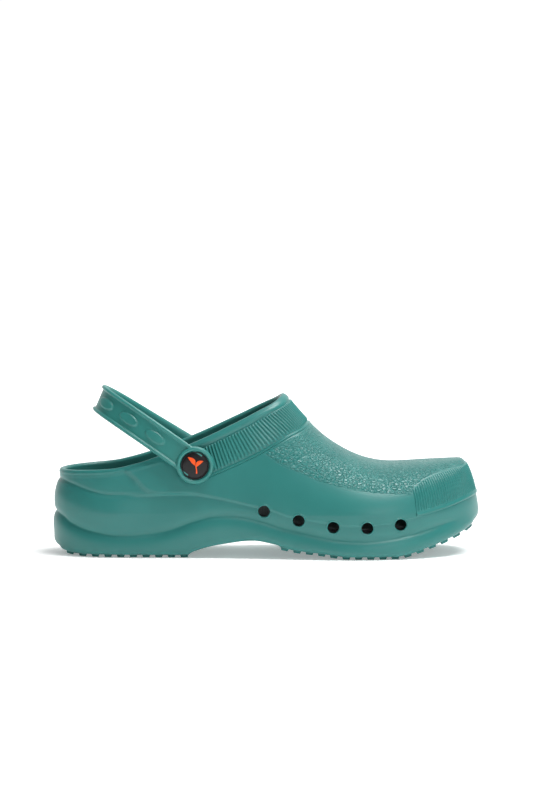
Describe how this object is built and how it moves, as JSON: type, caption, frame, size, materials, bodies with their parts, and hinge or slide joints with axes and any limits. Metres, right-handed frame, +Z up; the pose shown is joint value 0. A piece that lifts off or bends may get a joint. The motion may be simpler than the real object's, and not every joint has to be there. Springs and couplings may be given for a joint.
{
  "type": "rubber garden clog",
  "caption": "Closed-toe moulded foam clog with a swinging heel strap on two rivets, a ribbed collar and toe bumper, side vents, a lugged outsole and a lift-out insole.",
  "frame": {"origin": "on the ground, under the middle of the shoe's outer box", "axes": "+X towards the toe, +Z up, +Y towards the inner side of this right shoe"},
  "size_m": [0.2886, 0.108, 0.1145],
  "materials": {
    "eva_shell": "satin moulded foam with a grained vamp",
    "eva_strap": "satin moulded foam",
    "rubber_outsole": "matte moulded rubber",
    "insole_foam": "matte open-cell foam",
    "insole_textile": "close-woven lining",
    "rivet_plastic": "gloss",
    "badge": "domed gloss with a printed motif"
  },
  "bodies": {
    "clog": {"clog_shell": "eva_shell", "insole_foam": "insole_foam", "insole_cover": "insole_textile", "heel_outsole": "rubber_outsole", "forefoot_outsole": "rubber_outsole", "rivet_post_right": "rivet_plastic", "rivet_cap_right": "rivet_plastic", "rivet_badge_right": "badge", "rivet_post_left": "rivet_plastic", "rivet_cap_left": "rivet_plastic", "rivet_badge_left": "badge"},
    "strap": {"heel_strap": "eva_strap"}
  },
  "joints": [
    {"name": "strap_swing", "type": "hinge", "parent": "clog", "child": "strap", "pos_m": [-0.048, 0, 0.0634], "axis": [0, 1, 0], "range_deg": [-12, 94]}
  ]
}
